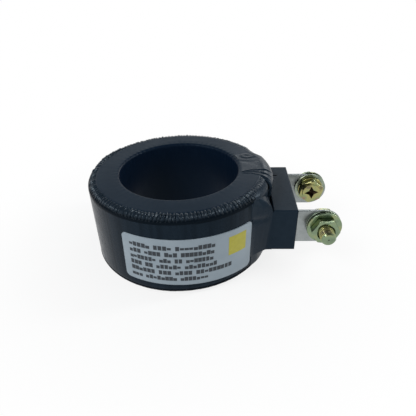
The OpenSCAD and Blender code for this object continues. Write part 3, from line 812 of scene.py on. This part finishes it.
def flat_washer(name, node, side, body, material):
    """Stamped washer: rolled over on its outer face, with a small burr on the other."""
    start, end = ends_of(node, side)
    inner, outer, roll = SCREW_R + 0.2, WASHER_R, 0.28
    profile = [(inner, start + 0.08), (inner, end - 0.15), (inner + 0.15, end)]
    profile += [(outer - roll + roll * math.sin(t), end - roll + roll * math.cos(t))
                for t in np.radians([0, 22, 45, 68, 90])]
    profile += [(outer, start + 0.1), (outer - 0.1, start), (inner + 0.08, start)]
    radius, w = np.array(profile).T
    degrees = np.arange(96) * 360 / 96
    washer = loops(on_screw(turned(radius, w, degrees[:, None]), side), True)
    make_mesh(name, washer, material, [node], 30, body)


def spring_washer(name, node, side, body, split):
    """Split washer of near-square wire, which rises a little from one side of its split to the other."""
    start, end = ends_of(node, side)
    inner, corner, rise, gap = SCREW_R + 0.2, 0.16, 0.22, 9.0
    mid = (inner + SPRING_R) / 2
    half_w = (SPRING_R - inner) / 2 - corner
    half_t = (end - start - rise) / 2
    section = np.concatenate([
        arc((mid + du * half_w, dw * (half_t - corner)), corner, corner, turn, turn + 90, 4)
        for du, dw, turn in ((1, 1, 0), (-1, 1, 90), (-1, -1, 180), (1, -1, 270))])
    degrees = np.linspace(split + gap, split + 360 - gap, 80)[:, None]
    w = start + half_t + rise * (1 - np.linspace(0, 1, 80)[:, None])
    washer = loops(on_screw(turned(section[:, 0], section[:, 1] + w, degrees), side), False)
    make_mesh(name, washer, zinc_yellow, [node], 35, body)


def hex_radius(degrees, turn):
    """Radius of a hexagon with slightly rounded corners at an angle."""
    a = np.radians(degrees - turn)
    sides = np.abs(np.cos(a[..., None] - np.radians([30, 90, 150]))) * 2 / FLATS
    return (sides ** 40).sum(-1) ** (-1 / 40)


def star_radius(degrees):
    """Radius of the recess, a four-pointed star with straight edges, at an angle."""
    tip, inner, turn = 3.1, 1.45, 5
    a = np.radians(np.abs(np.mod(degrees - turn + 45, 90) - 45))
    dx, dy = inner * math.cos(math.pi / 4) - tip, inner * math.sin(math.pi / 4)
    return tip * dy / (np.cos(a) * dy - np.sin(a) * dx)


def hex_rows(profile, turn):
    """Closed loops of a chamfered hexagon from points with a kind, a radius and a place on the axis. Round
    ones stay inside the flats, star ones give the recess, in shares of its radius, and the others lie on the
    flats, where the chamfer's cone from their radius meets them."""
    degrees = np.arange(144) * 360 / 144
    flats = hex_radius(degrees, turn)
    radii, places = [], []
    for kind, r, w in profile:
        fall = np.zeros(len(degrees))
        if kind == "round":
            radius = np.minimum(r, flats)
        elif kind == "star":
            radius = r * star_radius(degrees)
        else:
            radius = flats - (0.06 if kind.endswith("in") else 0)
            fall = np.maximum(0.0, radius - r) * math.tan(math.radians(28))
        radii.append(radius)
        places.append(w - fall if kind.startswith("top") else w + fall)
    return turned(np.stack(radii, 1), np.stack(places, 1), degrees[:, None])


def nut(k, side):
    """Hexagon nut with chamfered corners, countersunk mouths and an internal thread."""
    node = f"terminal_nut_{k}"
    start, end = ends_of(node, side)
    face_r, hole_r, thread_h = 4.75, SCREW_R + 0.05, 0.28
    mouth = hole_r + 0.55
    quarters = int((end - start - 1.1) / THREAD_PITCH * 4)
    thread = [("round", hole_r + (thread_h if j % 4 in (1, 2) else 0.0), start + 0.55 + j * THREAD_PITCH / 4)
              for j in range(quarters)]
    profile = [("round", mouth, start), *thread, ("round", hole_r, end - 0.5), ("round", mouth, end),
               ("round", face_r - 0.1, end), ("round", face_r, end - 0.03), ("top_in", face_r, end - 0.03),
               ("top", face_r, end - 0.09), ("low", face_r, start + 0.09), ("low_in", face_r, start + 0.03),
               ("round", face_r, start + 0.03), ("round", face_r - 0.1, start)]
    form = loops(on_screw(hex_rows(profile, 0 if side < 0 else 30), side), True)
    make_mesh(f"hex_nut_{k}", form, zinc_green, [node], 28, f"nut_{k}")


def thread_radius(w, degrees):
    """Rounded thread profile along the screw at an angle."""
    root, crest = SCREW_R - 0.42, SCREW_R - 0.03
    t = np.mod(w / THREAD_PITCH - degrees / 360, 1.0)
    return root + (crest - root) * np.clip(1.6 * (1 - np.abs(2 * t - 1)) - 0.15, 0, 1)


def screw(k, side):
    """Hexagon-head screw: chamfered head with a cross recess, threaded shank and chamfered tip."""
    node = f"terminal_screw_{k}"
    low, tip = ends_of(node, side)
    head_end = low + HEAD_H
    root_w, core_r = head_end - 0.05, 0.25
    degrees = (np.arange(72) * 360 / 72)[:, None]
    w = np.concatenate([np.arange(root_w, tip - 0.02, THREAD_PITCH / 12), [tip - 0.02]])
    chamfer = SCREW_R - 0.62 + (tip - w) * 0.9
    radius = np.minimum(thread_radius(w, degrees), np.maximum(chamfer, 0.5))
    core = np.full_like(degrees, core_r)
    radius = np.concatenate([core, radius, np.full_like(degrees, SCREW_R - 0.75), core], 1)
    w = np.concatenate([[root_w], w, [tip, tip]])
    shank_points, shank_faces = loops(on_screw(turned(radius, w, degrees), side), True)
    # The head: bottom and mouth of the recess, raised face, chamfered flats and underside
    face_r, chamfer_r = 4.1, 4.7
    profile = [("round", 0.1, low + 1.9), ("star", 0.45, low + 1.6), ("star", 0.95, low + 0.35),
               ("star", 1.0, low + 0.08), ("star", 1.05, low),
               ("round", 3.5, low), ("round", 3.8, low), ("round", face_r - 0.12, low),
               ("round", face_r, low + 0.08), ("round", face_r + 0.05, low + 0.3),
               ("low_in", chamfer_r, low + 0.32), ("low", chamfer_r, low + 0.40),
               ("top", 4.9, head_end), ("round", 4.8, head_end), ("round", core_r, head_end)]
    head_points, head_faces = loops(on_screw(hex_rows(profile, 0 if side < 0 else 20), side), True)
    faces = shank_faces + [[i + len(shank_points) for i in f] for f in head_faces]
    form = np.concatenate([shank_points, head_points]), faces
    piece = make_mesh(f"cross_screw_{k}", form, zinc_yellow, [node], 28)
    # The recess is painted darker, as the shade that falls in it, and the free end has the nuts' colour
    recess_r, recess_depth, end_length = 3.2, 2.0, 0.9
    piece.data.materials.append(recess_shade_metal)
    piece.data.materials.append(zinc_green)
    for face in piece.data.polygons:
        x, y, z = (c / MM for c in face.center)
        w = side * y - HOLE[1]
        if low + 0.02 < w < low + recess_depth and math.hypot(x - HOLE[0], z - HOLE[2]) < recess_r:
            face.material_index = 1
        elif w > tip - end_length:
            face.material_index = 2


def fasteners():
    for k, side in ((1, -1), (2, 1)):
        screw(k, side)
        nut(k, side)
        flat_washer(f"nut_washer_{k}", f"clamp_flat_washer_{k}", side, f"clamp_{k}", zinc_green)
    flat_washer("tab_washer_1", "tab_flat_washer_1", -1, "root", zinc_grey)
    spring_washer("nut_spring_1", "clamp_spring_washer_1", -1, "clamp_1", split=70)
    flat_washer("head_washer_2", "head_flat_washer_2", 1, "root", zinc_grey)
    spring_washer("head_spring_2", "head_spring_washer_2", 1, "root", split=150)


# ---- Label

LABEL_W, LABEL_H = 53.5, 21.4
LABEL_CORNER = 2.0
LABEL_T = 0.15
INK_T = 0.05
# Tilt in degrees, and how far the middle lies below half the ring's height
LABEL_LEAN = -1.8
LABEL_DROP = 1.7
# The label's right end lies 1 mm short of binding wrap 1, whose border is at -38 degrees
LABEL_ANGLE = -38 - math.degrees((LABEL_W / 2 + 1) / BAND_R)


def on_label(u, v, radius):
    """A point u along and v up the label, laid on the ring at a radius."""
    lean = math.radians(LABEL_LEAN)
    x = u * math.cos(lean) - v * math.sin(lean)
    z = u * math.sin(lean) + v * math.cos(lean)
    return turned(radius, z - LABEL_DROP, LABEL_ANGLE + np.degrees(x / BAND_R))


def label_base():
    """Film label with round corners, laid on the band."""
    half_w, half_h, straight = LABEL_W / 2, LABEL_H / 2, LABEL_H / 2 - LABEL_CORNER
    v = np.concatenate([np.linspace(-half_h, -straight, 9)[:-1], np.linspace(-straight, straight, 12),
                        np.linspace(straight, half_h, 9)[1:]])[:, None]
    over = np.clip(np.abs(v) - straight, 0, LABEL_CORNER - 0.02)
    half = half_w - LABEL_CORNER + np.sqrt(LABEL_CORNER ** 2 - over ** 2)
    u = half * np.linspace(-1, 1, 120)
    sheet = thick_sheet(on_label(u, v, BAND_R + LABEL_T), on_label(u, v, BAND_R - 0.25))
    make_mesh("label_sheet", sheet, plain["label_film"], ["label_base"])


def print_bars(name, bars, steps, ink, node):
    """One piece of flat ink from filled rectangles (u0, u1, v0, v1), split so that they follow the ring."""
    points, faces, count = [], [], 0
    for u0, u1, v0, v1 in bars:
        u, v = np.meshgrid(np.linspace(u0, u1, steps + 1), [v0, v1])
        bar_points, bar_faces = thick_sheet(on_label(u, v, BAND_R + LABEL_T + INK_T),
                                            on_label(u, v, BAND_R + LABEL_T / 2))
        faces += [[i + count for i in face] for face in bar_faces]
        points.append(bar_points)
        count += len(bar_points)
    make_mesh(name, (np.concatenate(points), faces), plain[ink], [node])


def print_rows():
    """Six rows of word-like groups of solid blocks, with no letters."""
    rng = np.random.default_rng(12)
    ends = [0.82, 0.81, 0.80, 0.84, 1.0, 0.75]
    words = [(5, 4, 9), (3, 4, 3, 8), (7, 3, 2, 7), (3, 2, 6, 8), (6, 3, 4, 9), (3, 8, 7)]
    cap, row_pitch, space = 1.95, 2.9, 0.8
    text_w, left = LABEL_W * 0.75, -LABEL_W / 2 + 3.2
    bars = []
    for row, (end, counts) in enumerate(zip(ends, words)):
        low = row_pitch * (2.5 - row) - 0.4 - cap / 2
        pitch = text_w * end / (sum(counts) + space * (len(counts) - 1))
        u = left
        for count in counts:
            for _ in range(count):
                width = pitch * rng.uniform(0.80, 0.93)
                lift, height = rng.choice([0.0, 0.0, 0.35]), rng.choice([cap, cap, cap, 0.7 * cap])
                bars.append((u, u + width, low + min(lift, cap - height), low + height))
                u += pitch
            u += space * pitch
    print_bars("label_rows", bars, 1, "label_ink", "label_print")


def label_field():
    """Plain yellow square on the right of the label."""
    side, from_right, from_top = 8.5, 3.4, 2.6
    right, top = LABEL_W / 2 - from_right, LABEL_H / 2 - from_top
    bars = [(right - side, right, top - side, top)]
    print_bars("label_yellow_field", bars, 12, "label_yellow", "label_patch")


# ---- Stage, light and camera

def stage_floor():
    """Pale floor: it takes a soft shadow near the part and is plain white further off."""
    n = Finish("floor")
    n.set("Roughness", 1.0)
    n.set("Specular IOR Level", 0.0)
    n.set("Base Color", (0.78, 0.78, 0.78, 1))
    path = n.new("ShaderNodeLightPath").outputs
    seen = n.math("MAXIMUM", n.math("MAXIMUM", path["Is Camera Ray"], path["Is Glossy Ray"]),
                  path["Is Transmission Ray"])
    pale = n.new("ShaderNodeBsdfDiffuse", {"Color": (1, 1, 1, 1)}).outputs["BSDF"]
    glow = n.new("ShaderNodeEmission", {"Strength": 1.0}).outputs["Emission"]
    near, far = 0.045, 0.11
    white = n.spread(n.length(n.coordinates["Object"]), near, far, 0.82, 1.0)
    backdrop = n.new("ShaderNodeMixShader", {0: white, 1: pale, 2: glow}).outputs["Shader"]
    mix = n.new("ShaderNodeMixShader", {0: seen, 1: n.shader.outputs["BSDF"], 2: backdrop})
    n.put(n.output.inputs["Surface"], mix.outputs["Shader"])
    size, z = 3.0, cad_low.z
    corners = [(-size, -size, z), (size, -size, z), (size, size, z), (-size, size, z)]
    mesh = bpy.data.meshes.new("floor")
    mesh.from_pydata(corners, [], [(0, 1, 2, 3)])
    mesh.materials.append(n.material)
    floor = add("floor", mesh)


def studio_world():
    """Bright walls all round under a dark ceiling."""
    world = bpy.data.worlds.new("studio")
    bpy.context.scene.world = world
    n = Nodes(world)
    stops = []
    for place, level in ((0.0, 1.0), (0.25, 0.95), (0.50, 0.50), (0.78, 0.16), (1.0, 0.08)):
        # The tint comes in with height, so that the backdrop low down stays white
        cool = [tone ** min(1.0, 2 * place) for tone in (0.90, 0.965, 1.0)]
        stops.append((place, [level * tone for tone in cool]))
    colour = n.ramp(n.up(n.coordinates["Generated"]), *stops)
    background = n.new("ShaderNodeBackground", {"Color": colour, "Strength": 1.0})
    n.new("ShaderNodeOutputWorld", {"Surface": background.outputs["Background"]})


def soft_light(name, place, aim, size, watts):
    """Soft box at a place, in metres, facing a point."""
    data = bpy.data.lights.new(name, "AREA")
    data.shape = "RECTANGLE"
    data.size, data.size_y = size
    data.energy = watts
    light = add(name, data)
    light.location = place
    light.rotation_euler = (Vector(aim) - Vector(place)).to_track_quat("-Z", "Y").to_euler()
    light.visible_camera = False


def camera():
    """Camera a little above the part, in front of the label and turned slightly to the right."""
    back = Vector((0.0355, -0.8375, 0.5452)).normalized()
    aim = Vector((0.01178, 0.00050, -0.00222))
    distance = 0.1795
    roll = math.radians(-1.51)
    level = Vector((0, 0, 1)).cross(back).normalized()
    upright = back.cross(level)
    right = math.cos(roll) * level + math.sin(roll) * upright
    up = math.cos(roll) * upright - math.sin(roll) * level
    data = bpy.data.cameras.new("camera")
    data.lens, data.sensor_width = 34.50, 36.0
    data.clip_start, data.clip_end = 0.005, 20
    eye = add("camera", data)
    turn = Matrix((right, up, back)).transposed().to_4x4()
    eye.matrix_world = Matrix.Translation(aim + back * distance) @ turn
    bpy.context.scene.camera = eye


camera()
studio_world()
stage_floor()
soft_light("key", (-0.35, -0.25, 0.45), (0, 0, 0), (0.25, 0.25), 1.6)
soft_light("right_strip", (0.45, 0.10, 0.30), (0.05, 0, 0), (0.08, 0.30), 1.0)
soft_light("back_right", (0.31, 0.60, 0.29), (0.06, 0, 0), (0.16, 0.12), 0.32)
soft_light("nut_glow", (0.109, 0.140, 0.118), (0.059, -0.02, 0), (0.034, 0.026), 0.0075)
soft_light("head_glow", (0.040, 0.140, 0.083), (0.059, 0.012, 0), (0.022, 0.016), 0.0040)

dress_kept_nodes()
tape_jacket()
rim_hem("rim_hem_top", 51, True)
rim_hem("rim_hem_bottom", 61, False)
film_band()
binding_wraps()
joint_wrap("joint_wrap_1", -1)
joint_wrap("joint_wrap_2", 1)
block_cheek("block_cheek_1", -1)
block_cheek("block_cheek_2", 1)
tab(1, -1)
tab(2, 1)
fasteners()
label_base()
print_rows()
label_field()

bpy.context.scene.view_settings.view_transform = "Standard"
